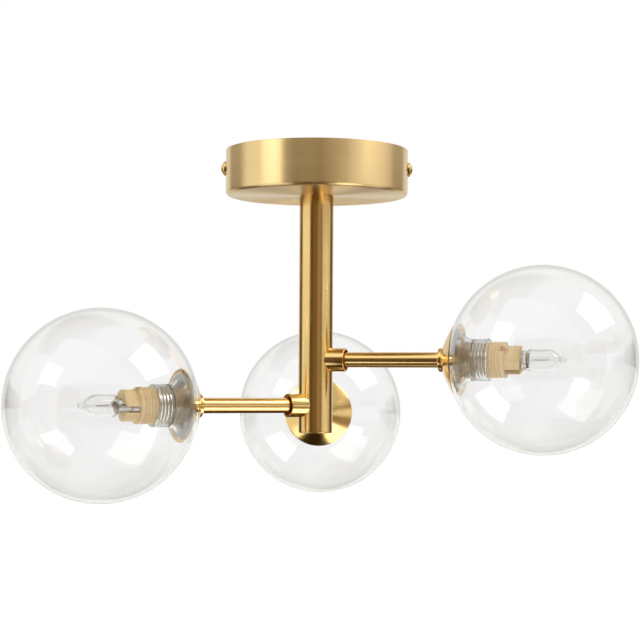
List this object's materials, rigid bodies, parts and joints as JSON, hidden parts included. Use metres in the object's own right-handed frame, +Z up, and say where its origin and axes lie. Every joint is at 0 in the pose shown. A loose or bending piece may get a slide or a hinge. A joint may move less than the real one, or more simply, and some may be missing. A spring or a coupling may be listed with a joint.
{
  "type": "semi flush ceiling light",
  "caption": "Semi flush brass ceiling light: round canopy, short stem and level arms that carry clear glass globes over small capsule bulbs.",
  "frame": {"origin": "centre of the ceiling bracket's upper face, which lies on the ceiling", "axes": "+Z up into the ceiling, +X to the right of the picture, +Y away from the camera"},
  "size_m": [0.3943, 0.3427, 0.234],
  "materials": {
    "brushed_brass": "circular brushed satin",
    "polished_brass": "polished and lacquered",
    "plain_brass": "machined, bare",
    "zinc_steel": "zinc plated, satin",
    "white_plastic": "moulded, matt",
    "cream_plastic": "moulded, satin",
    "clear_silicone": "translucent, soft",
    "clear_glass": "clear, polished",
    "quartz_glass": "clear, polished",
    "nickel_wire": "drawn wire, satin",
    "tungsten_wire": "drawn wire, dull",
    "lead_sleeve": "silicone sleeve, matt"
  },
  "bodies": {
    "fixed": {"ceiling_bracket": "zinc_steel", "canopy": "brushed_brass", "canopy_screws": "polished_brass", "terminal_block": "white_plastic", "terminal_barrels": "plain_brass", "terminal_screws": "zinc_steel", "block_screw": "zinc_steel", "earth_screw": "zinc_steel", "stem_nipple": "zinc_steel", "stem_washer": "zinc_steel", "stem_nut": "zinc_steel", "stem_bush": "plain_brass", "stem_tube": "polished_brass", "stem_end_cap": "polished_brass", "right_collar": "polished_brass", "right_arm_tube": "polished_brass", "right_arm_ring": "polished_brass", "right_cup": "polished_brass", "right_cup_nut": "zinc_steel", "right_holder_base": "cream_plastic", "right_lampholder": "cream_plastic", "right_contacts": "zinc_steel", "right_lead": "lead_sleeve", "left_collar": "polished_brass", "left_arm_tube": "polished_brass", "left_arm_ring": "polished_brass", "left_cup": "polished_brass", "left_cup_nut": "zinc_steel", "left_holder_base": "cream_plastic", "left_lampholder": "cream_plastic", "left_contacts": "zinc_steel", "left_lead": "lead_sleeve", "rear_collar": "polished_brass", "rear_arm_tube": "polished_brass", "rear_arm_ring": "polished_brass", "rear_cup": "polished_brass", "rear_cup_nut": "zinc_steel", "rear_holder_base": "cream_plastic", "rear_lampholder": "cream_plastic", "rear_contacts": "zinc_steel", "rear_lead": "lead_sleeve"},
    "right_glass_turning": {"right_seal": "clear_silicone"},
    "right_glass": {"right_globe": "clear_glass"},
    "right_bulb": {"right_bulb_glass": "quartz_glass", "right_bulb_pins": "nickel_wire", "right_bulb_filament": "tungsten_wire"},
    "left_glass_turning": {"left_seal": "clear_silicone"},
    "left_glass": {"left_globe": "clear_glass"},
    "left_bulb": {"left_bulb_glass": "quartz_glass", "left_bulb_pins": "nickel_wire", "left_bulb_filament": "tungsten_wire"},
    "rear_glass_turning": {"rear_seal": "clear_silicone"},
    "rear_glass": {"rear_globe": "clear_glass"},
    "rear_bulb": {"rear_bulb_glass": "quartz_glass", "rear_bulb_pins": "nickel_wire", "rear_bulb_filament": "tungsten_wire"}
  },
  "joints": [
    {"name": "right_globe_turn", "type": "hinge", "parent": "fixed", "child": "right_glass_turning", "pos_m": [0.10039, -0.03165, -0.138], "axis": [0.9537, -0.3007, 0], "range_deg": [0, 3488]},
    {"name": "right_globe_travel", "type": "slide", "parent": "right_glass_turning", "child": "right_glass", "axis": [0.9537, -0.3007, 0], "range_m": [0, 0.02181]},
    {"name": "right_bulb_pull", "type": "slide", "parent": "fixed", "child": "right_bulb", "axis": [0.9537, -0.3007, 0], "range_m": [0, 0.0161]},
    {"name": "left_globe_turn", "type": "hinge", "parent": "fixed", "child": "left_glass_turning", "pos_m": [-0.09206, -0.05103, -0.168], "axis": [-0.8746, -0.4848, 0], "range_deg": [0, 3488]},
    {"name": "left_globe_travel", "type": "slide", "parent": "left_glass_turning", "child": "left_glass", "axis": [-0.8746, -0.4848, 0], "range_m": [0, 0.02181]},
    {"name": "left_bulb_pull", "type": "slide", "parent": "fixed", "child": "left_bulb", "axis": [-0.8746, -0.4848, 0], "range_m": [0, 0.0161]},
    {"name": "rear_globe_turn", "type": "hinge", "parent": "fixed", "child": "rear_glass_turning", "pos_m": [0.0022, 0.10524, -0.174], "axis": [0.0209, 0.9998, 0], "range_deg": [0, 3488]},
    {"name": "rear_globe_travel", "type": "slide", "parent": "rear_glass_turning", "child": "rear_glass", "axis": [0.0209, 0.9998, 0], "range_m": [0, 0.02181]},
    {"name": "rear_bulb_pull", "type": "slide", "parent": "fixed", "child": "rear_bulb", "axis": [0.0209, 0.9998, 0], "range_m": [0, 0.0161]}
  ],
  "couplings": [
    {"joint": "right_globe_travel", "follows": "right_globe_turn", "m_per_rad": 0.0003581},
    {"joint": "left_globe_travel", "follows": "left_globe_turn", "m_per_rad": 0.0003581},
    {"joint": "rear_globe_travel", "follows": "rear_globe_turn", "m_per_rad": 0.0003581}
  ]
}
